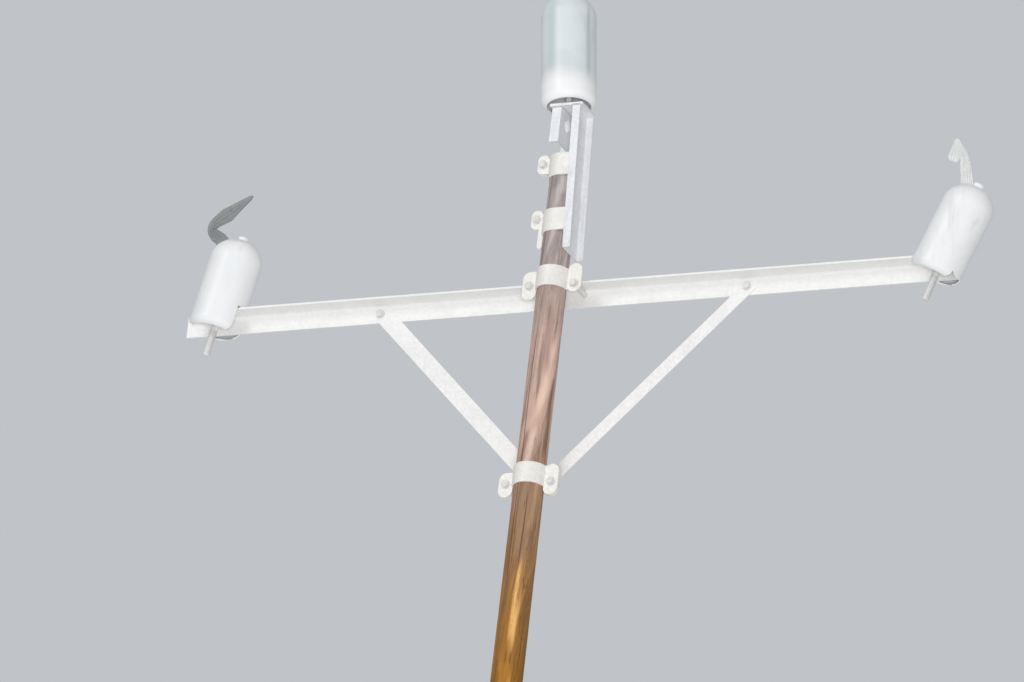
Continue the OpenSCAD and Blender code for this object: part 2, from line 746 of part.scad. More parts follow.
module left_hood() { side_hood(left_pin_x, left_pin_lean, left_hood_lean); }
module left_insulator() { side_insulator(left_pin_x, left_pin_lean, left_hood_lean); }
module left_pin() { side_pin(left_pin_x, left_pin_lean, left_hood_lean); }
module left_washer_upper() { washer_upper(left_pin_x, left_pin_lean); }
module left_washer_lower() { washer_lower(left_pin_x, left_pin_lean); }
module left_pin_nut() { pin_nut(left_pin_x, left_pin_lean); }
module right_hood() { side_hood(right_pin_x, right_pin_lean, right_hood_lean); }
module right_insulator() { side_insulator(right_pin_x, right_pin_lean, right_hood_lean); }
module right_pin() { side_pin(right_pin_x, right_pin_lean, right_hood_lean); }
module right_washer_upper() { washer_upper(right_pin_x, right_pin_lean); }
module right_washer_lower() { washer_lower(right_pin_x, right_pin_lean); }
module right_pin_nut() { pin_nut(right_pin_x, right_pin_lean); }

// Places its children at the top pin's foot on the seat plate
module at_top_pin() {
    translate([-top_pin_x, 0, seat_z + seat_t]) rotate([0, -top_lean, 0]) children();
}
module top_hood() {
    at_top_pin() translate([0, 0, top_rim_gap]) hood(top_hood_d, top_hood_h, top_dome_h);
}
module top_insulator() {
    at_top_pin() translate([0, 0, top_base_z]) insulator();
}
// The top pin is welded to the seat plate, so its collar is cut level there
module top_pin() {
    color("silver") difference() {
        at_top_pin() {
            translate([0, 0, -collar_h]) cylinder(d = pin_d, h = top_base_z + collar_h + cut);
            translate([0, 0, -collar_h]) cylinder(d = collar_d, h = 2 * collar_h);
            translate([0, 0, top_base_z]) cylinder(d = thimble_d, h = thimble_depth);
        }
        translate([-far / 2, -far / 2, seat_z + seat_t - far]) cube(far);
    }
}

pole();
crossarm();
crossarm_strap();
crossarm_bolt_left();
crossarm_bolt_right();
brace_clamp_front();
brace_clamp_back();
brace_clamp_bolt_left();
brace_clamp_bolt_right();
brace_stud();
brace_stud_nut();
brace_left();
brace_right();
brace_bolt_left();
brace_bolt_right();
bracket_channel();
bracket_short_leg();
bracket_seat_plate();
upper_strap_front();
upper_strap_back();
upper_strap_bolt();
lower_strap_front();
lower_strap_back();
lower_strap_bolt();
top_hood();
top_insulator();
top_pin();
left_hood();
left_insulator();
left_pin();
left_washer_upper();
left_washer_lower();
left_pin_nut();
right_hood();
right_insulator();
right_pin();
right_washer_upper();
right_washer_lower();
right_pin_nut();
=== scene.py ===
import json
import math

import bpy
import numpy as np
from mathutils import Matrix, Vector
from mathutils.bvhtree import BVHTree


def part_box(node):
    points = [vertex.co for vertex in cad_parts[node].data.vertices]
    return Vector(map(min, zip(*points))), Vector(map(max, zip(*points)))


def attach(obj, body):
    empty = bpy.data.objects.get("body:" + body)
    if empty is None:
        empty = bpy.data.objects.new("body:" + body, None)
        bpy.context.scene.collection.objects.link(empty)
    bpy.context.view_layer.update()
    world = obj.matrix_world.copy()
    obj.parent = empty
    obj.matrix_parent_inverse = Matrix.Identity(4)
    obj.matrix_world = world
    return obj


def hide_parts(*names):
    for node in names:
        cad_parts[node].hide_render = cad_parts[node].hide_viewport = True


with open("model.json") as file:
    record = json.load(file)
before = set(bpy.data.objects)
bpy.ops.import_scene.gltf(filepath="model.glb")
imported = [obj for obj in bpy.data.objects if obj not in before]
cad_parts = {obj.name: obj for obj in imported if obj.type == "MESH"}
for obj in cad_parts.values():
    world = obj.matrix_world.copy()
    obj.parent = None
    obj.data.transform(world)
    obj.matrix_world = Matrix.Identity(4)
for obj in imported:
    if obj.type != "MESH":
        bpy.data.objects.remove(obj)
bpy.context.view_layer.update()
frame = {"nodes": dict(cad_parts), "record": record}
NODES = frame["nodes"]
MM = 0.001


# Materials


def srgb(red, green, blue):
    """Linear colour of an sRGB colour from 0 to 255."""
    linear = []
    for value in (red, green, blue):
        share = value / 255
        linear.append(share / 12.92 if share <= 0.04045 else ((share + 0.055) / 1.055) ** 2.4)
    return (*linear, 1.0)


# Share of a streak's height over which each of its ends fades
STREAK_FADE = 0.25


class Paint:
    """One procedural material, built from its nodes."""

    def __init__(self, name, roughness=0.5, metallic=0.0):
        self.material = bpy.data.materials.new(name)
        self.material.use_nodes = True
        self.tree = self.material.node_tree
        self.shader = self.tree.nodes["Principled BSDF"]
        self.shader.inputs["Roughness"].default_value = roughness
        self.shader.inputs["Metallic"].default_value = metallic
        self.place = self.node("ShaderNodeTexCoord").outputs["Object"]

    def node(self, kind, inputs=None, **settings):
        """A node with its settings, and with links or values in its inputs."""
        made = self.tree.nodes.new(kind)
        for key, value in settings.items():
            setattr(made, key, value)
        for key, value in (inputs or {}).items():
            if isinstance(value, bpy.types.NodeSocket):
                self.tree.links.new(value, made.inputs[key])
            else:
                made.inputs[key].default_value = value
        return made

    def stretched(self, rise, place=None):
        """The place on the surface, or another, with its height scaled by rise."""
        inputs = {"Vector": place or self.place, "Scale": (1, 1, rise)}
        return self.node("ShaderNodeMapping", inputs).outputs[0]

    def turned(self, rate, rise):
        """The place turned about the vertical by rate radians a metre, then stretched."""
        inputs = {"Vector": self.place, "Angle": self.times(self.along("Z"), rate)}
        made = self.node("ShaderNodeVectorRotate", inputs, rotation_type="Z_AXIS")
        return self.stretched(rise, made.outputs[0])

    def noise(self, scale, detail=4.0, rough=0.55, vector=None, twist=0.0):
        """Soft clouds of about one over scale metres, from 0 to 1."""
        inputs = {"Vector": vector or self.place, "Scale": scale, "Detail": detail,
                  "Roughness": rough, "Distortion": twist}
        return self.node("ShaderNodeTexNoise", inputs).outputs["Fac"]

    def math(self, operation, a, b=0.0):
        """One operation on values or links."""
        return self.node("ShaderNodeMath", {0: a, 1: b}, operation=operation).outputs[0]

    def times(self, a, b):
        """The product of two values or links."""
        return self.math("MULTIPLY", a, b)

    def plus(self, a, b):
        """The sum of two values or links."""
        return self.math("ADD", a, b)

    def minus(self, a, b):
        """The difference of two values or links."""
        return self.math("SUBTRACT", a, b)

    def band(self, value, low, high, to_low=0.0, to_high=1.0):
        """Value from low..high mapped smoothly to to_low..to_high."""
        inputs = {"Value": value, "From Min": low, "From Max": high,
                  "To Min": to_low, "To Max": to_high}
        return self.node("ShaderNodeMapRange", inputs, interpolation_type="SMOOTHSTEP").outputs[0]

    def ramp(self, value, stops):
        """Colours at (place, colour) stops."""
        made = self.node("ShaderNodeValToRGB", {"Fac": value})
        elements = made.color_ramp.elements
        while len(elements) < len(stops):
            elements.new(0.5)
        for element, (place, colour) in zip(elements, stops):
            element.position = place
            element.color = colour
        return made.outputs["Color"]

    def mix(self, share, a, b):
        """Colour a with a share of colour b."""
        return self.node("ShaderNodeMix", {0: share, 6: a, 7: b}, data_type="RGBA").outputs[2]

    def layered(self, colour, layers):
        """Colour with tones laid over it: each where its pattern passes from one
        value to the next, up to its share."""
        for pattern, start, full, share, tone in layers:
            colour = self.mix(self.band(pattern, start, full, 0.0, share), colour, tone)
        return colour

    def along(self, axis):
        """One coordinate of the place on the surface."""
        return self.node("ShaderNodeSeparateXYZ", {0: self.place}).outputs[axis]

    def streak(self, low, high, half, wobble=0.0):
        """Soft band between two (degrees round the pole, height) ends."""
        turn = self.plus(self.math("ARCTAN2", self.along("Y"), self.along("X")), wobble)
        z = self.along("Z")
        centre = self.node("ShaderNodeMapRange", {
            "Value": z, "From Min": low[1], "From Max": high[1],
            "To Min": math.radians(low[0]), "To Max": math.radians(high[0])}, clamp=False)
        away = self.math("ABSOLUTE", self.minus(turn, centre.outputs[0]))
        across = self.band(away, math.radians(half), 0.0)
        fade = STREAK_FADE * (high[1] - low[1])
        ends = self.times(self.band(z, low[1], low[1] + fade),
                          self.band(z, high[1], high[1] - fade))
        return self.times(across, ends)

    def facing(self, axis):
        """One coordinate of the surface's normal."""
        normal = self.node("ShaderNodeNewGeometry").outputs["Normal"]
        return self.node("ShaderNodeSeparateXYZ", {0: normal}).outputs[axis]

    def bump(self, height, distance, strength=1.0):
        """The normal of a surface whose fine relief rises by distance."""
        inputs = {"Height": height, "Distance": distance, "Strength": strength}
        return self.node("ShaderNodeBump", inputs).outputs[0]

    def wire(self, **sockets):
        """Links values to the shader's sockets, with _ for a space in a name."""
        for name, value in sockets.items():
            self.tree.links.new(value, self.shader.inputs[name.replace("_", " ")])


# Streaks of the pole that the photograph shows: their ends as degrees round the
# pole and metres up it, half their width in degrees, their strength and colour
TIMBER_STREAKS = [
    ((-110, 6.24), (-4, 6.84), 30, 0.7, srgb(214, 182, 165)),
    # Painted highlight on the pole below the crossarm
    ((-76, 6.44), (-20, 6.81), 19, 0.9, srgb(242, 208, 190)),
    ((-94, 6.20), (-64, 6.44), 22, 0.8, srgb(234, 206, 192)),
    ((-118, 6.26), (-100, 6.42), 19, 0.85, srgb(138, 116, 102)),
    ((-18, 6.26), (-12, 6.66), 20, 0.85, srgb(126, 98, 88)),
    ((-118, 6.30), (-96, 6.98), 20, 0.6, srgb(196, 166, 160)),
    ((-52, 6.60), (-60, 6.95), 22, 0.6, srgb(158, 130, 122)),
    ((-92, 5.30), (-84, 5.84), 16, 0.7, srgb(166, 112, 42)),
    ((-30, 5.20), (-40, 5.80), 16, 0.6, srgb(168, 120, 54)),
    ((-68, 5.50), (-60, 5.94), 19, 1.0, srgb(242, 188, 118)),
    ((-72, 4.96), (-62, 5.47), 15, 0.85, srgb(230, 164, 78)),
    ((-116, 5.60), (-108, 6.12), 18, 0.6, srgb(124, 88, 52)),
    ((-70, 7.12), (-66, 7.24), 30, 0.5, srgb(160, 150, 150)),
    ((-64, 5.84), (-60, 6.26), 62, 0.55, srgb(168, 136, 110)),
    # Painted shadow on the pole under the upper strap
    ((-104, 7.36), (-64, 7.50), 22, 0.55, srgb(134, 128, 130)),
    ((-74, 7.27), (-62, 7.37), 28, 0.55, srgb(132, 122, 124)),
]

# Timber: height of the pole, how far streaks stray sideways in radians, the thin
# splits in their pattern, the end grain's rings in radians a metre, and relief
POLE_TOP = 7.5
STREAK_WOBBLE = 0.9
SPLIT_MIDDLE = 0.5
SPLIT_HALF = 0.012
SPLIT_SHARE = 0.7
RING_RATE = 1800.0
RING_WOBBLE = 6 * MM
TIMBER_RELIEF = 0.9 * MM


def timber_paint(name, end_grain=False):
    """Weathered pole timber: greyish at the top, golden below the braces and dark
    brown at the foot. A painted highlight lies below the crossarm, a painted
    shadow under the upper strap, and painted shade in the drying checks."""
    paint = Paint(name, roughness=0.8)
    height = paint.math("DIVIDE", paint.along("Z"), POLE_TOP)
    by_height = paint.ramp(height, [
        (0.0, srgb(84, 66, 48)),
        (0.10, srgb(116, 88, 58)),
        (0.45, srgb(146, 108, 62)),
        (0.72, srgb(152, 104, 38)),
        (0.79, srgb(158, 120, 80)),
        (0.83, srgb(168, 138, 114)),
        (0.86, srgb(206, 174, 154)),
        (0.90, srgb(214, 184, 170)),
        (0.93, srgb(186, 164, 156)),
        (0.95, srgb(176, 163, 161)),
        (1.0, srgb(178, 173, 174)),
    ])
    streaks = paint.noise(46.0, 5.0, 0.6, paint.turned(-0.9, 0.045), 0.5)
    grain = paint.noise(260.0, 6.0, 0.65, paint.turned(-0.6, 0.03), 0.6)
    fibres = paint.noise(900.0, 4.0, 0.6, paint.turned(-0.6, 0.022), 0.3)
    splits = paint.noise(120.0, 3.0, 0.5, paint.turned(-0.6, 0.05), 0.2)
    patches = paint.noise(16.0, 4.0, 0.55, paint.turned(-2.4, 0.14), 1.0)
    wobble = paint.times(paint.minus(patches, 0.5), STREAK_WOBBLE)
    warm = paint.ramp(height, [
        (0.0, srgb(128, 100, 72)),
        (0.22, srgb(158, 120, 76)),
        (0.45, srgb(196, 146, 86)),
        (0.64, srgb(206, 148, 70)),
        (0.75, srgb(196, 140, 68)),
        (0.80, srgb(204, 158, 112)),
        (0.84, srgb(222, 184, 156)),
        (0.88, srgb(236, 208, 192)),
        (1.0, srgb(206, 200, 198)),
    ])
    dark = paint.ramp(height, [
        (0.0, srgb(38, 30, 23)),
        (0.40, srgb(80, 55, 30)),
        (0.70, srgb(112, 74, 34)),
        (0.84, srgb(120, 94, 84)),
        (0.93, srgb(128, 112, 108)),
        (1.0, srgb(124, 114, 112)),
    ])
    colour = paint.layered(by_height, [
        (streaks, 0.52, 0.68, 0.75, warm),
        (streaks, 0.46, 0.34, 0.65, dark),
        (grain, 0.46, 0.28, 0.4, dark),
        (grain, 0.56, 0.74, 0.4, warm),
        (fibres, 0.47, 0.32, 0.5, dark),
        (fibres, 0.56, 0.72, 0.25, warm),
        (patches, 0.54, 0.70, 0.4, dark),
        (patches, 0.46, 0.32, 0.55, warm),
    ])
    for low, high, half, share, tone in TIMBER_STREAKS:
        mask = paint.times(paint.streak(low, high, half, wobble), share)
        colour = paint.mix(mask, colour, tone)
    thin = paint.band(paint.math("ABSOLUTE", paint.minus(splits, SPLIT_MIDDLE)), SPLIT_HALF, 0.0)
    thin = paint.times(thin, paint.band(patches, 0.46, 0.56))
    colour = paint.mix(paint.times(thin, SPLIT_SHARE), colour, dark)
    relief = paint.plus(paint.times(grain, 0.7), paint.times(streaks, 0.6))
    relief = paint.plus(relief, paint.times(fibres, 0.35))
    relief = paint.minus(relief, paint.times(thin, 0.5))
    if end_grain:
        across = paint.node("ShaderNodeVectorMath", {0: paint.stretched(0)},
                            operation="LENGTH").outputs["Value"]
        wobble = paint.times(paint.noise(30.0, 3.0), RING_WOBBLE)
        rings = paint.math("SINE", paint.times(paint.plus(across, wobble), RING_RATE))
        colour = paint.layered(colour, [(rings, -0.2, 0.9, 0.55, dark)])
        relief = rings
    # Painted shade in the drying checks: the deeper a check, the darker
    check = paint.node("ShaderNodeAttribute", attribute_name="check").outputs["Fac"]
    colour = paint.layered(colour, [(check, 0.08, 0.7, 0.65, srgb(78, 58, 46))])
    paint.wire(
        Base_Color=colour,
        Roughness=paint.band(grain, 0.3, 0.7, 0.9, 0.68),
        Normal=paint.bump(relief, TIMBER_RELIEF),
    )
    paint.shader.inputs["Specular IOR Level"].default_value = 0.25
    return paint.material


ZINC_RELIEF = 0.35 * MM
HOOD_RELIEF = 0.5 * MM
GLAZE_RELIEF = 0.4 * MM


def zinc_paint(name, colour, shade, stain, spangle=110.0, dirt=0.2):
    """Hot-dip galvanised steel: faint crystals, dull patches, stained runs and specks."""
    paint = Paint(name, metallic=0.1)
    crystal = paint.node("ShaderNodeTexVoronoi", {"Vector": paint.place, "Scale": spangle})
    crystals = paint.node("ShaderNodeRGBToBW", {0: crystal.outputs["Color"]}).outputs[0]
    clouds = paint.noise(9.0, 5.0, 0.6, twist=0.8)
    runs = paint.noise(34.0, 4.0, 0.6, paint.stretched(0.12), 0.5)
    specks = paint.noise(240.0, 3.0, 0.6)
    tone = paint.layered(colour, [
        (crystals, 0.2, 0.8, 0.45, shade),
        (clouds, 0.48, 0.72, 0.35, shade),
        (runs, 0.56, 0.78, dirt, stain),
        (specks, 0.66, 0.76, 0.35, stain),
    ])
    rough = paint.plus(paint.band(crystals, 0.2, 0.8, 0.46, 0.54),
                       paint.band(clouds, 0.4, 0.7, 0.0, 0.08))
    relief = paint.plus(paint.times(specks, 0.5), paint.times(clouds, 0.8))
    paint.wire(Base_Color=tone, Roughness=rough, Normal=paint.bump(relief, ZINC_RELIEF, 0.8))
    return paint.material


# Painted shade: darker vertical bands down the sides of the top hood, as on a lit
# cylinder. Their degrees round the pole's axis at their foot and at their head, half their
# width in degrees, their strength and colour. The hood leans off that axis, so head and foot
# differ.
HOOD_PAINTED_SHADE_BANDS = [
    (-27, -49, 15, 0.6, srgb(172, 186, 190)),
    (-119, -134, 17, 0.55, srgb(184, 200, 200)),
]

# Heights on the top hood: its rim, which has a painted highlight, and the foot and head of its
# painted shade bands
RIM_Z = 7.80
SHADE_BANDS_FOOT_Z = RIM_Z - 0.02
SHADE_BANDS_HEAD_Z = RIM_Z + 0.36


def hood_paint(name, colour, shade, dust, painted_light=False):
    """Smooth weathered moulding with faint runs and a little dust on its crown.
    Where painted light is asked for, it also has the painted shade bands and the painted highlight
    on the rim of the top hood."""
    paint = Paint(name, roughness=0.22)
    runs = paint.noise(30.0, 5.0, 0.6, paint.stretched(0.1), 0.4)
    clouds = paint.noise(8.0, 4.0, 0.5, twist=0.6)
    specks = paint.noise(320.0, 2.0, 0.5)
    tone = paint.layered(colour, [
        (clouds, 0.42, 0.70, 0.5, shade),
        (runs, 0.54, 0.76, 0.4, dust),
    ])
    if painted_light:
        # Painted shade: darker vertical bands down the sides of the top hood
        for foot, head, half, share, shade_tone in HOOD_PAINTED_SHADE_BANDS:
            shade_band = paint.streak((foot, SHADE_BANDS_FOOT_Z), (head, SHADE_BANDS_HEAD_Z), half)
            tone = paint.mix(paint.times(shade_band, share), tone, shade_tone)
        # Painted highlight: from a little above the top hood's rim downwards it turns near white
        tone = paint.layered(tone, [
            (paint.along("Z"), RIM_Z + 0.06, RIM_Z - 0.03, 0.95, srgb(252, 253, 254)),
        ])
    crown = paint.times(paint.band(paint.facing("Z"), 0.35, 0.95),
                        paint.band(clouds, 0.35, 0.65, 0.15, 0.75))
    tone = paint.mix(crown, tone, dust)
    tone = paint.layered(tone, [(specks, 0.68, 0.76, 0.5, dust)])
    relief = paint.plus(clouds, paint.times(specks, 0.08))
    paint.wire(
        Base_Color=tone,
        Roughness=paint.band(runs, 0.35, 0.75, 0.28, 0.46),
        Normal=paint.bump(relief, HOOD_RELIEF, 0.5),
    )
    paint.shader.inputs["Specular IOR Level"].default_value = 0.35
    paint.shader.inputs["Coat Weight"].default_value = 0.12
    paint.shader.inputs["Coat Roughness"].default_value = 0.2
    return paint.material


def glaze_paint(name):
    """Brown glazed porcelain with darker pools and dust."""
    paint = Paint(name, roughness=0.15)
    clouds = paint.noise(28.0, 4.0, 0.55, twist=0.7)
    specks = paint.noise(300.0, 3.0, 0.6)
    tone = paint.layered(srgb(112, 66, 44), [
        (clouds, 0.35, 0.7, 1.0, srgb(74, 42, 30)),
        (specks, 0.64, 0.75, 0.5, srgb(158, 132, 110)),
    ])
    paint.wire(
        Base_Color=tone,
        Roughness=paint.band(clouds, 0.3, 0.7, 0.1, 0.3),
        Normal=paint.bump(clouds, GLAZE_RELIEF, 0.5),
    )
    paint.shader.inputs["Coat Weight"].default_value = 0.5
    return paint.material


PAINTS = {
    "timber": timber_paint("weathered_timber"),
    "timber_end": timber_paint("timber_end_grain", end_grain=True),
    "galvanised_angle": zinc_paint("galvanised_angle", srgb(246, 246, 245),
                                   srgb(236, 237, 236), srgb(206, 202, 194)),
    "galvanised_strap": zinc_paint("galvanised_strap", srgb(246, 244, 239),
                                   srgb(234, 231, 226), srgb(190, 176, 162), dirt=0.3),
    "bracket_steel": zinc_paint("bracket_steel", srgb(242, 243, 246),
                                srgb(226, 228, 232), srgb(180, 176, 172), dirt=0.35),
    "bolt_steel": zinc_paint("bolt_steel", srgb(230, 229, 226), srgb(204, 203, 200),
                             srgb(150, 130, 110), spangle=220.0, dirt=0.4),
    "pin_steel": zinc_paint("pin_steel", srgb(240, 240, 239), srgb(222, 222, 221),
                            srgb(172, 158, 142), spangle=180.0, dirt=0.35),
    "hood_shell": hood_paint("hood_shell", srgb(244, 246, 248), srgb(234, 237, 240),
                             srgb(214, 215, 212)),
    # The top hood: a greyer shell with painted shade bands and a painted highlight on its rim
    "hood_shell_grey_painted_light": hood_paint("hood_shell_grey_painted_light", srgb(224, 231, 234), srgb(212, 220, 223),
                                  srgb(202, 207, 206), painted_light=True),
    "porcelain": glaze_paint("glazed_porcelain"),
    "weld": zinc_paint("weld_bead", srgb(206, 206, 205), srgb(176, 176, 175),
                       srgb(140, 128, 116), spangle=260.0, dirt=0.5),
    "tie_wire": zinc_paint("tie_wire", srgb(150, 154, 154), srgb(132, 136, 136),
                           srgb(108, 108, 104), spangle=40.0, dirt=0.25),
    "tie_wire_pale": zinc_paint("tie_wire_pale", srgb(234, 236, 235), srgb(218, 220, 219),
                                srgb(190, 188, 182), spangle=40.0, dirt=0.2),
}
SLOT_OF = {part["node"]: part["material_slot"] for part in frame["record"]["subparts"]}
PAINT_OF = {**SLOT_OF, "left_pin": "pin_steel", "right_pin": "pin_steel", "top_pin": "pin_steel",
            "top_hood": "hood_shell_grey_painted_light"}

for node_name, node in NODES.items():
    node.data.materials.clear()
    node.data.materials.append(PAINTS[PAINT_OF[node_name]])


# Pieces


def piece(name, points, faces, paint):
    """A piece of the object, made of points and faces in the row frame."""
    mesh = bpy.data.meshes.new(name)
    mesh.from_pydata([tuple(point) for point in points], [], faces)
    mesh.materials.append(PAINTS[paint])
    mesh.shade_smooth()
    made = bpy.data.objects.new(name, mesh)
    bpy.context.scene.collection.objects.link(made)
    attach(made, "root")
    return made


def grid_faces(rows, columns):
    """Quads between rows of points, where each row closes on itself."""
    faces = []
    for i in range(rows - 1):
        for j in range(columns):
            a = i * columns + j
            b = i * columns + (j + 1) % columns
            faces.append((a, b, b + columns, a + columns))
    return faces


def turns_round(count):
    """Angles at equal steps round a circle."""
    return [2 * math.pi * i / count for i in range(count)]


def directions(path):
    """Unit direction of a path at each of its points."""
    last = len(path) - 1
    return [(path[min(i + 1, last)] - path[max(i - 1, 0)]).normalized()
            for i in range(last + 1)]


def tube(path, radii, sides):
    """Points and faces of a round tube with closed ends along a path."""
    path = [Vector(point) for point in path]
    tangents = directions(path)
    across = tangents[0].orthogonal().normalized()
    points = []
    for i in range(len(path)):
        if i:
            across = tangents[i - 1].rotation_difference(tangents[i]) @ across
        side = tangents[i].cross(across)
        for turn in turns_round(sides):
            points.append(path[i] + radii[i] * (math.cos(turn) * across + math.sin(turn) * side))
    faces = grid_faces(len(path), sides)
    faces.append(tuple(reversed(range(sides))))
    faces.append(tuple(range(len(points) - sides, len(points))))
    return points, faces


def cad_surface(name):
    """The surface of a CAD node, to cast rays on."""
    mesh = NODES[name].data
    return BVHTree.FromPolygons([vertex.co for vertex in mesh.vertices],
                                [tuple(polygon.vertices) for polygon in mesh.polygons])


def joined(parts):
    """Several (points, faces) as one."""
    points, faces = [], []
    for part_points, part_faces in parts:
        start = len(points)
        points.extend(part_points)
        faces.extend(tuple(i + start for i in face) for face in part_faces)
    return points, faces


def smooth_path(corners, steps):
    """Points of a Catmull-Rom curve through the corners."""
    corners = [Vector(corner) for corner in corners]
    ends = [2 * corners[0] - corners[1], *corners, 2 * corners[-1] - corners[-2]]
    path = []
    for i in range(1, len(ends) - 2):
        a, b, c, d = ends[i - 1:i + 3]
        for j in range(steps):
            t = j / steps
            path.append(0.5 * (2 * b + (c - a) * t + (2 * a - 5 * b + 4 * c - d) * t * t
                               + (3 * b - a - 3 * c + d) * t ** 3))
    path.append(corners[-1])
    return path


# Pole

POLE_SEED = 11
POLE_SIDES = 224
POLE_ROWS = 300
CHAMFER = 6 * MM
CHAMFER_ROWS = 5
CAP_RINGS = 10
# The skin ends this far inside the CAD pole's end faces
SKIN_GAP = 0.01 * MM
ABOUT_A_TURN = 6.3

# Slow waves: their number, most crests round the pole, length and joint depth
WAVE_COUNT = 14
MOST_CRESTS = 6
WAVE_LENGTH = (0.5, 2.4)
UNEVEN = 1.0 * MM

# Drying checks: half their length in metres, width and depth in millimetres. Each
# winds up the pole by its spiral, in radians a metre, and wanders a little about it.
CHECK_COUNT = 58
CHECK_HALF = (0.12, 0.75)
CHECK_WIDTH = (1.6, 3.4)
CHECK_DEPTH = (1.5, 4.5)
CHECK_TIP = 0.35
CHECK_SPIRAL = 0.10
CHECK_WANDER = 0.03
CHECK_WANDER_LENGTH = (0.2, 0.6)
# A check of this depth gets the full painted shade, and sinks the pole's top face by the drop
FULL_SHADE_CHECK_DEPTH = 3 * MM
CRACK_DROP = 1.5 * MM

# Knots: radius in millimetres, and how far they stay from the pole's ends
KNOT_COUNT = 26
KNOT_SIZE = (9, 17)
KNOT_FOOT_GAP = 0.3
KNOT_TOP_GAP = 0.2
KNOT_STRETCH = 1.5
KNOT_EDGE = 2.2 * MM
KNOT_DEPTH = 1.6 * MM


def cad_radii(name, heights, turns):
    """Distance from the pole's axis to the surface of a CAD node."""
    surface = cad_surface(name)
    radii = np.zeros((len(heights), len(turns)))
    for i, z in enumerate(heights):
        for j, turn in enumerate(turns):
            outward = Vector((math.cos(turn), math.sin(turn), 0))
            radii[i, j] = surface.ray_cast(Vector((0, 0, z)), outward)[3]
    return radii


def round_way(turn, centre):
    """Angle from centre to turn, the short way round."""
    return (turn - centre + math.pi) % (2 * math.pi) - math.pi


def unevenness(rng, turn, z):
    """Slow waves in the skin, all of them inwards."""
    waves = np.zeros((len(z), turn.size))
    for _ in range(WAVE_COUNT):
        crests = rng.integers(1, MOST_CRESTS + 1)
        length = rng.uniform(*WAVE_LENGTH)
        waves += np.cos(crests * turn + rng.uniform(0, ABOUT_A_TURN) + ABOUT_A_TURN * z / length)
    return UNEVEN * (waves - waves.max()) / np.ptp(waves)


def check_depths(rng, radii, turn, z, foot, top):
    """Depth of the drying checks, which wind a little as they rise."""
    depth = np.zeros_like(radii)
    for _ in range(CHECK_COUNT):
        middle = rng.uniform(foot, top)
        half = rng.uniform(*CHECK_HALF)
        width = rng.uniform(*CHECK_WIDTH) * MM
        deep = rng.uniform(*CHECK_DEPTH) * MM
        centre = rng.uniform(0, 2 * math.pi) + CHECK_SPIRAL * (z - middle)
        bends = ABOUT_A_TURN * z / rng.uniform(*CHECK_WANDER_LENGTH)
        centre = centre + CHECK_WANDER * np.sin(bends + rng.uniform(0, ABOUT_A_TURN))
        away = np.abs(round_way(turn, centre)) * radii
        fade = np.clip(1 - ((z - middle) / half) ** 2, 0, 1) ** 0.5
        inside = np.clip(1 - away / (width * (CHECK_TIP + fade)), 0, 1)
        depth = np.maximum(depth, deep * fade * inside)
    return depth


def knot_depths(rng, radii, turn, z, foot, top):
    """Depth of the shallow rings round the knots."""
    depth = np.zeros_like(radii)
    for _ in range(KNOT_COUNT):
        knot_z = rng.uniform(foot + KNOT_FOOT_GAP, top - KNOT_TOP_GAP)
        centre = rng.uniform(0, 2 * math.pi)
        size = rng.uniform(*KNOT_SIZE) * MM
        across = round_way(turn, centre) * radii
        away = np.sqrt(across ** 2 + ((z - knot_z) / KNOT_STRETCH) ** 2)
        depth = np.maximum(depth, KNOT_DEPTH * np.exp(-((away - size) / KNOT_EDGE) ** 2))
    return depth


def close_end(points, faces, checks, row, upper):
    """Adds the rings and the middle point that close the end of the skin at row.
    The checks run on into them and fade out."""
    rings = [range(row * POLE_SIDES, (row + 1) * POLE_SIDES)]
    for i in range(1, CAP_RINGS):
        share = 1 - i / CAP_RINGS
        rings.append(range(len(points), len(points) + POLE_SIDES))
        for edge in rings[0]:
            x, y, z = points[edge]
            crack = checks[edge] * share ** 3
            drop = crack * CRACK_DROP if upper else 0
            points.append((x * share, y * share, z - drop))
            checks.append(crack)
    middle = len(points)
    points.append((0, 0, points[rings[0][0]][2]))
    checks.append(0)
    cap = []
    for j in range(POLE_SIDES):
        k = (j + 1) % POLE_SIDES
        for outer, inner in zip(rings, rings[1:]):
            cap.append((outer[j], outer[k], inner[k], inner[j]))
        cap.append((rings[-1][j], rings[-1][k], middle))
    faces += cap if upper else [tuple(reversed(face)) for face in cap]


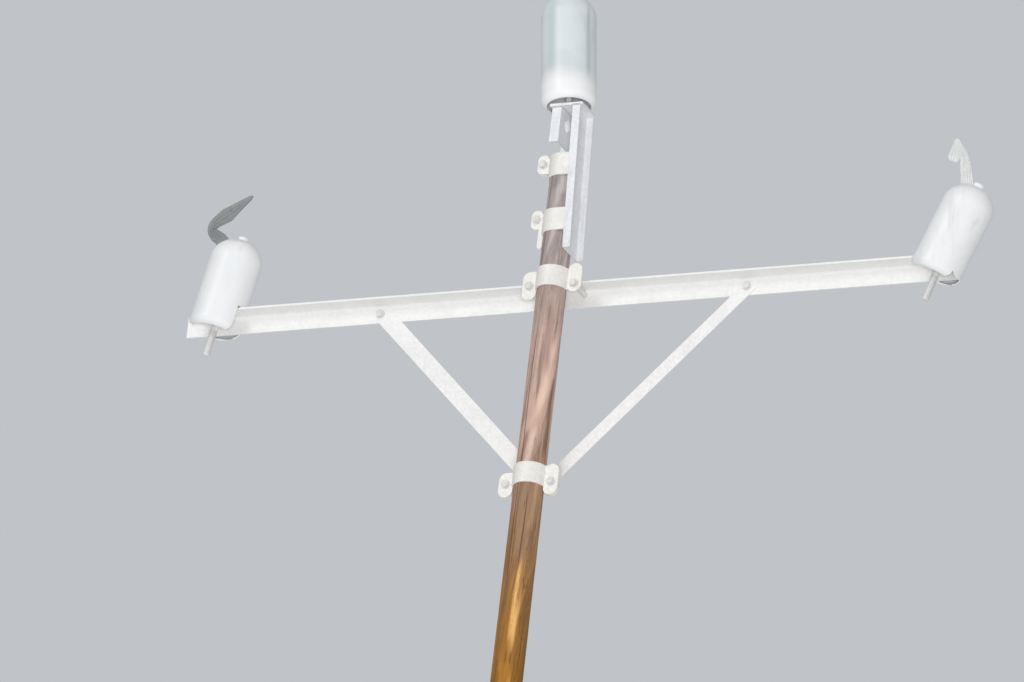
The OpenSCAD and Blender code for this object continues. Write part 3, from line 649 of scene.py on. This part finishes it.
def pole_skin():
    """The pole's surface, taken from the CAD pole and only ever cut inwards."""
    low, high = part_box("pole")
    heights = np.concatenate([
        np.linspace(low.z, high.z - CHAMFER, POLE_ROWS),
        np.linspace(high.z - CHAMFER, high.z, CHAMFER_ROWS)[1:],
    ])
    heights[0] += SKIN_GAP
    heights[-1] -= SKIN_GAP
    turns = np.linspace(0, 2 * math.pi, POLE_SIDES, endpoint=False)
    radii = cad_radii("pole", heights, turns)
    turn, z = turns[None, :], heights[:, None]
    rng = np.random.default_rng(POLE_SEED)
    uneven = unevenness(rng, turn, z)
    depth = np.maximum(check_depths(rng, radii, turn, z, low.z, high.z),
                       knot_depths(rng, radii, turn, z, low.z, high.z))
    radii = radii + uneven - depth

    points = [(radii[i, j] * math.cos(turns[j]), radii[i, j] * math.sin(turns[j]), heights[i])
              for i in range(len(heights)) for j in range(POLE_SIDES)]
    faces = grid_faces(len(heights), POLE_SIDES)
    side_faces = len(faces)
    checks = list((depth / FULL_SHADE_CHECK_DEPTH).ravel())
    close_end(points, faces, checks, 0, upper=False)
    close_end(points, faces, checks, len(heights) - 1, upper=True)
    skin = piece("pole_timber", points, faces, "timber")
    skin.data.materials.append(PAINTS["timber_end"])
    for polygon in skin.data.polygons[side_faces:]:
        polygon.material_index = 1
        polygon.use_smooth = False
    attribute = skin.data.attributes.new("check", "FLOAT", "POINT")
    attribute.data.foreach_set("value", checks)
    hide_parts("pole")


pole_skin()


# Steel details

# Widths of the slight rounding of sharp steel edges. Holes and edges that nearly
# touch leave room for a narrow one only.
TIGHT_NODES = ("crossarm", "upper_strap_front", "upper_strap_back")
TIGHT_WIDTH = 0.25 * MM
SOFT_WIDTHS = {
    "galvanised_angle": 0.9 * MM,
    "galvanised_strap": 0.9 * MM,
    "bracket_steel": 0.9 * MM,
    "bolt_steel": 0.6 * MM,
}
SHARP_DEGREES = 35
# Corners nearer than this are one corner
SAME_PLACE = 0.02 * MM


def soften(name, width):
    """Rounds the sharp edges of a CAD node a little."""
    node = NODES[name]
    weld = node.modifiers.new("weld", "WELD")
    weld.merge_threshold = SAME_PLACE
    bevel = node.modifiers.new("bevel", "BEVEL")
    bevel.width = width
    bevel.segments = 2
    bevel.limit_method = "ANGLE"
    bevel.angle_limit = math.radians(SHARP_DEGREES)
    bevel.use_clamp_overlap = True
    normals = node.modifiers.new("normals", "WEIGHTED_NORMAL")
    normals.mode = "FACE_AREA"


for node_name in NODES:
    if node_name in TIGHT_NODES:
        soften(node_name, TIGHT_WIDTH)
    elif SLOT_OF[node_name] in SOFT_WIDTHS:
        soften(node_name, SOFT_WIDTHS[SLOT_OF[node_name]])

# Threads: half width and height of the ridge as shares of the pitch, and how far
# its foot is sunk into the shank
RIDGE_HALF = 0.36
RIDGE_HEIGHT = 0.26
RIDGE_SUNK = 0.15 * MM

# Bolts and the brace stud, whose tails have threads short of both ends
BOLT_R = 8 * MM
BOLT_PITCH = 2 * MM
BOLT_SIDES = 18
BOLT_TAIL = 14 * MM
THREAD_END_GAP = 1 * MM

# Side pins, whose threads start a little above the tip
PIN_R = 12 * MM
PIN_PITCH = 3 * MM
PIN_SIDES = 22
PIN_THREAD_LENGTH = 96 * MM
PIN_TIP_GAP = 3 * MM

# Lean of each side pin in degrees, and height of the crossarm's top face
PIN_LEANS = {"left": 11.5, "right": 18.0}
ARM_TOP = 7.033


def thread(name, start, axis, radius, length, pitch, sides, paint="bolt_steel"):
    """Helical ridge round a shank, from start along axis."""
    across = axis.orthogonal().normalized()
    side = axis.cross(across)
    steps = int(length / pitch * sides)
    half = RIDGE_HALF * pitch
    root = radius - RIDGE_SUNK
    height = RIDGE_SUNK + RIDGE_HEIGHT * pitch
    points = []
    for i in range(steps + 1):
        turn = 2 * math.pi * i / sides
        out = math.cos(turn) * across + math.sin(turn) * side
        centre = start + axis * (pitch * i / sides)
        grow = min(1.0, i / sides, (steps - i) / sides)
        for r, shift in ((root, -half), (root + height * grow, 0), (root, half)):
            points.append(centre + out * r + axis * shift)
    faces = grid_faces(steps + 1, 3)
    faces.append((2, 1, 0))
    faces.append((3 * steps, 3 * steps + 1, 3 * steps + 2))
    piece(name, points, faces, paint)


for bolt in [name for name in NODES if "_bolt" in name] + ["brace_stud"]:
    low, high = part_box(bolt)
    start = Vector(((low.x + high.x) / 2, high.y - BOLT_TAIL + THREAD_END_GAP,
                    (low.z + high.z) / 2))
    thread(bolt + "_thread", start, Vector((0, 1, 0)), BOLT_R, BOLT_TAIL - 2 * THREAD_END_GAP,
           BOLT_PITCH, BOLT_SIDES)

# The axis of a side pin meets the crossarm's top face in the middle of its washer
for side, degrees in PIN_LEANS.items():
    lean = math.radians(degrees)
    low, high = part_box(side + "_washer_upper")
    foot = Vector(((low.x + high.x) / 2, (low.y + high.y) / 2, ARM_TOP))
    up = Vector((math.sin(lean), 0, math.cos(lean)))
    tip = (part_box(side + "_pin")[0].z - ARM_TOP) / up.z + PIN_R * math.tan(lean)
    thread(side + "_pin_thread", foot + up * (tip + PIN_TIP_GAP), up, PIN_R,
           PIN_THREAD_LENGTH, PIN_PITCH, PIN_SIDES, "pin_steel")

# Weld beads: their steps, the share of their radius at an end and its growth with
# each step, and their ripples
BEAD_STEP = 1.6 * MM
BEAD_SIDES = 10
BEAD_END = 0.55
BEAD_GROWTH = 0.15
BEAD_RIPPLE = 0.10
RIPPLE_RATE = 2.1

# Beads on the flanges and the web of both bracket legs
FLANGE_BEAD_R = 3.2 * MM
WEB_BEAD_R = 3.0 * MM
WEB_BEAD_INSET = 6 * MM
CHANNEL_BEAD_LENGTH = 30 * MM

# Bead round the foot of the top pin, which leans and so has an oval foot
TOP_PIN_X = -14 * MM
TOP_PIN_OVAL = (24.6 * MM, 24.2 * MM)
TOP_PIN_BEAD_R = 3.4 * MM
TOP_PIN_BEAD_STEPS = 40

# Bead round the brace stud, on the outside of the clamp's band
STUD_RING_R = 20.4 * MM
STUD_BEAD_R = 3.0 * MM
STUD_BEAD_STEPS = 48
CLAMP_BAND_R = 62.6 * MM


def bead(name, corners, radius):
    """Weld bead with ripples along straight runs between corners."""
    path = []
    for a, b in zip(corners, corners[1:]):
        a, b = Vector(a), Vector(b)
        steps = max(2, int((b - a).length / BEAD_STEP))
        for i in range(steps):
            path.append(a.lerp(b, i / steps))
    path.append(Vector(corners[-1]))
    radii = []
    for i in range(len(path)):
        taper = min(1.0, BEAD_END + BEAD_GROWTH * min(i, len(path) - 1 - i))
        radii.append(radius * taper * (1 + BEAD_RIPPLE * math.sin(RIPPLE_RATE * i)))
    points, faces = tube(path, radii, BEAD_SIDES)
    piece(name, points, faces, "weld")


def leg_welds(name, z, low, high, left, right, web):
    """Beads at height z along both flanges of a leg and across its web. The box of
    the leg is low to high; left, right and web are places along X."""
    for word, y in (("near", low.y), ("far", high.y)):
        bead(name + "_" + word, [(left, y, z), (right, y, z)], FLANGE_BEAD_R)
    ends = [(web, low.y + WEB_BEAD_INSET, z), (web, high.y - WEB_BEAD_INSET, z)]
    bead(name + "_web", ends, WEB_BEAD_R)


def bracket_welds():
    """Beads under the seat plate and round the foot of the top pin."""
    seat_low, seat_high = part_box("bracket_seat_plate")
    low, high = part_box("bracket_channel")
    leg_welds("weld_channel", seat_low.z, low, high, low.x, low.x + CHANNEL_BEAD_LENGTH, low.x)
    low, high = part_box("bracket_short_leg")
    leg_welds("weld_leg", seat_low.z, low, high, low.x, high.x, high.x)
    wide, deep = TOP_PIN_OVAL
    ring = [(TOP_PIN_X + wide * math.cos(turn), deep * math.sin(turn), seat_high.z)
            for turn in turns_round(TOP_PIN_BEAD_STEPS)]
    bead("weld_top_pin", ring + ring[:1], TOP_PIN_BEAD_R)


def stud_weld():
    """Bead round the stud on the clamp's curved band behind the pole."""
    low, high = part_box("brace_stud")
    ring = []
    for turn in turns_round(STUD_BEAD_STEPS):
        x = STUD_RING_R * math.cos(turn)
        ring.append(((low.x + high.x) / 2 + x, math.sqrt(CLAMP_BAND_R ** 2 - x ** 2),
                     (low.z + high.z) / 2 + STUD_RING_R * math.sin(turn)))
    bead("weld_brace_stud", ring + ring[:1], STUD_BEAD_R)


bracket_welds()
stud_weld()


# Tie wires

# Tails of tie wires on the side hoods, each a flat row of strands along a path
STRANDS = 7
STRAND_SIDES = 8
PATH_STEPS = 12
ROW_FACING = Vector((0.39, -0.82, -0.41)).normalized()

# Where the row is narrow every second strand moves out of it. The strands wave a
# little and taper at both ends. All shares are of a strand's radius.
BUNCHING = 0.9
STRAND_WAVE = 0.05
STRAND_WAVE_RATE = 0.5
STRAND_WAVE_SHIFT = 2.1
STRAND_END = 0.3
STRAND_GROWTH = 0.25


def ribbon(path, widths, radius):
    """Strands side by side along a path, where the width of the row varies."""
    last = len(path) - 1
    lines = [[] for _ in range(STRANDS)]
    for i, tangent in enumerate(directions(path)):
        across = tangent.cross(ROW_FACING).normalized()
        depth = across.cross(tangent)
        crowded = max(0.0, 1 - widths[i] / (2 * radius * STRANDS))
        for k in range(STRANDS):
            share = k / (STRANDS - 1) - 0.5
            bunch = BUNCHING * radius * (k % 2) * crowded
            wave = math.sin(STRAND_WAVE_RATE * i + STRAND_WAVE_SHIFT * k)
            wave *= STRAND_WAVE * radius
            lines[k].append(path[i] + across * (share * widths[i]) + depth * (bunch + wave))
    radii = [radius * min(1.0, STRAND_END + STRAND_GROWTH * min(i, last - i))
             for i in range(last + 1)]
    return joined([tube(line, radii, STRAND_SIDES) for line in lines])


def along_stops(stops, count):
    """Values at even steps through (share, value) stops."""
    shares, values = zip(*stops)
    return [float(value) for value in np.interp(np.linspace(0, 1, count), shares, values)]


def tie_tail(name, hood, paint, radius, ray, steps, places, widths):
    """A tail that starts where a ray (from, along) meets a hood. Its first corners
    are steps from there and the others places; widths are (share, width) stops."""
    seat = cad_surface(hood).ray_cast(Vector(ray[0]), Vector(ray[1]))[0]
    path = smooth_path([seat + Vector(step) for step in steps] + places, PATH_STEPS)
    points, faces = ribbon(path, along_stops(widths, len(path)), radius)
    piece(name, points, faces, paint)


# A bent leaf on the left hood's shoulder
tie_tail(
    "left_tie_tail", "left_hood", "tie_wire", 4.8 * MM,
    ray=((-1.410, 0.03, 7.36), (0.75, 0.20, -0.90)),
    steps=[(0.004, 0.002, -0.004), (-0.012, 0, 0.016)],
    places=[(-1.402, 0.052, 7.342), (-1.424, 0.060, 7.370), (-1.410, 0.062, 7.398),
            (-1.366, 0.065, 7.430), (-1.322, 0.066, 7.464), (-1.276, 0.066, 7.497)],
    widths=[(0, 0.042), (0.28, 0.036), (0.43, 0.020), (0.58, 0.030), (0.70, 0.044),
            (0.84, 0.024), (1, 0.003)],
)
# A tail on the right hood's dome, with its end folded back into a barb
tie_tail(
    "right_tie_tail", "right_hood", "tie_wire_pale", 4.6 * MM,
    ray=((1.560, 0.062, 7.45), (0.10, 0.02, -1.0)),
    steps=[(0, 0, -0.006), (-0.004, 0, 0.026)],
    places=[(1.560, 0.066, 7.387), (1.552, 0.066, 7.424), (1.535, 0.066, 7.462),
            (1.516, 0.064, 7.500), (1.513, 0.060, 7.464), (1.512, 0.058, 7.430),
            (1.506, 0.058, 7.411)],
    widths=[(0, 0.042), (0.25, 0.034), (0.38, 0.026), (0.50, 0.020), (0.62, 0.003),
            (0.75, 0.020), (0.88, 0.038), (1, 0.020)],
)


# Floor and light

# The floor fades out from this share of its radius
FLOOR_R = 9.0
FLOOR_SIDES = 96
FLOOR_FADE = 0.45
BACKDROP = srgb(192, 195, 199)
AMBIENT = 0.40

# Broad lamps far away: name, direction towards it, strength, softness in degrees,
# and whether it shows in reflections
LAMPS = [
    ("camera_side", (0.40, -0.82, -0.41), 1.62, 14, False),
    ("key", (-0.35, -0.85, 0.35), 0.45, 25, True),
    ("top", (-0.2, 0.1, 0.95), 0.7, 35, False),
    ("back", (-0.3, 0.9, 0.15), 0.5, 35, False),
]


def floor_paint():
    """Pale matt floor that fades out towards its edge."""
    paint = Paint("pale_floor", roughness=0.9)
    paint.shader.inputs["Base Color"].default_value = srgb(236, 236, 235)
    clear = paint.node("ShaderNodeBsdfTransparent").outputs[0]
    away = paint.node("ShaderNodeVectorMath", {0: paint.place}, operation="LENGTH").outputs["Value"]
    faded = paint.band(away, FLOOR_FADE * FLOOR_R, FLOOR_R)
    blend = paint.node("ShaderNodeMixShader", {0: faded, 1: paint.shader.outputs[0], 2: clear})
    output = paint.tree.nodes["Material Output"]
    paint.tree.links.new(blend.outputs[0], output.inputs["Surface"])
    return paint.material


def make_floor():
    """A round floor at the ground line."""
    mesh = bpy.data.meshes.new("floor")
    ring = [(FLOOR_R * math.cos(turn), FLOOR_R * math.sin(turn), 0)
            for turn in turns_round(FLOOR_SIDES)]
    mesh.from_pydata(ring, [], [tuple(range(FLOOR_SIDES))])
    mesh.materials.append(floor_paint())
    floor = bpy.data.objects.new("floor", mesh)
    bpy.context.scene.collection.objects.link(floor)


def make_world():
    """The backdrop for what the camera, a reflection or a refraction sees, and
    plain white light of the ambient strength for everything else."""
    world = bpy.data.worlds.new("studio")
    world.use_nodes = True
    nodes, links = world.node_tree.nodes, world.node_tree.links
    back = nodes["Background"]
    path = nodes.new("ShaderNodeLightPath")
    seen = path.outputs["Is Camera Ray"]
    for other in ("Is Glossy Ray", "Is Transmission Ray"):
        either = nodes.new("ShaderNodeMath")
        either.operation = "MAXIMUM"
        links.new(seen, either.inputs[0])
        links.new(path.outputs[other], either.inputs[1])
        seen = either.outputs[0]
    strength = nodes.new("ShaderNodeMapRange")
    links.new(seen, strength.inputs["Value"])
    strength.inputs["To Min"].default_value = AMBIENT
    strength.inputs["To Max"].default_value = 1.0
    links.new(strength.outputs[0], back.inputs["Strength"])
    colour = nodes.new("ShaderNodeMix")
    colour.data_type = "RGBA"
    links.new(seen, colour.inputs[0])
    colour.inputs[6].default_value = (1, 1, 1, 1)
    colour.inputs[7].default_value = BACKDROP
    links.new(colour.outputs[2], back.inputs["Color"])
    bpy.context.scene.world = world


def make_sun(name, towards, strength, soft, glint):
    """A broad lamp far away in the direction towards."""
    data = bpy.data.lights.new(name, "SUN")
    data.energy = strength
    data.angle = math.radians(soft)
    lamp = bpy.data.objects.new(name, data)
    lamp.rotation_mode = "QUATERNION"
    lamp.rotation_quaternion = Vector(towards).to_track_quat("Z", "Y")
    lamp.visible_glossy = glint
    bpy.context.scene.collection.objects.link(lamp)


make_floor()
make_world()
for lamp_settings in LAMPS:
    make_sun(*lamp_settings)


# Camera

# The photograph looks up at the crossarm from the right of the pole's near side.
CAMERA_RIGHT = Vector((0.9167, 0.3853, 0.1053))
CAMERA_UP = Vector((0.0698, -0.4143, 0.9074))
CAMERA_BACK = Vector((0.3933, -0.8245, -0.4067))
AIM_HEIGHT = 7.025
AIM_LEFT = 0.1478
AIM_DOWN = 0.2179
CAMERA_AIM = Vector((0, 0, AIM_HEIGHT)) - AIM_LEFT * CAMERA_RIGHT - AIM_DOWN * CAMERA_UP
CAMERA_DISTANCE = 103.28
# Lens and sensor in millimetres; what is nearer or farther than the range isn't drawn
LENS = 1000
SENSOR = 36
CLIP_RANGE = (10, 400)


def make_camera():
    """A long lens far away, because the photograph's lines are almost parallel."""
    data = bpy.data.cameras.new("camera")
    data.sensor_width = SENSOR
    data.lens = LENS
    data.clip_start, data.clip_end = CLIP_RANGE
    camera = bpy.data.objects.new("camera", data)
    back = CAMERA_BACK.normalized()
    right = (CAMERA_RIGHT - CAMERA_RIGHT.dot(back) * back).normalized()
    turned = Matrix((right, back.cross(right), back)).transposed()
    camera.matrix_world = Matrix.Translation(CAMERA_AIM + CAMERA_DISTANCE * back) @ turned.to_4x4()
    bpy.context.scene.collection.objects.link(camera)
    bpy.context.scene.camera = camera


make_camera()
bpy.context.scene.view_settings.view_transform = "Standard"
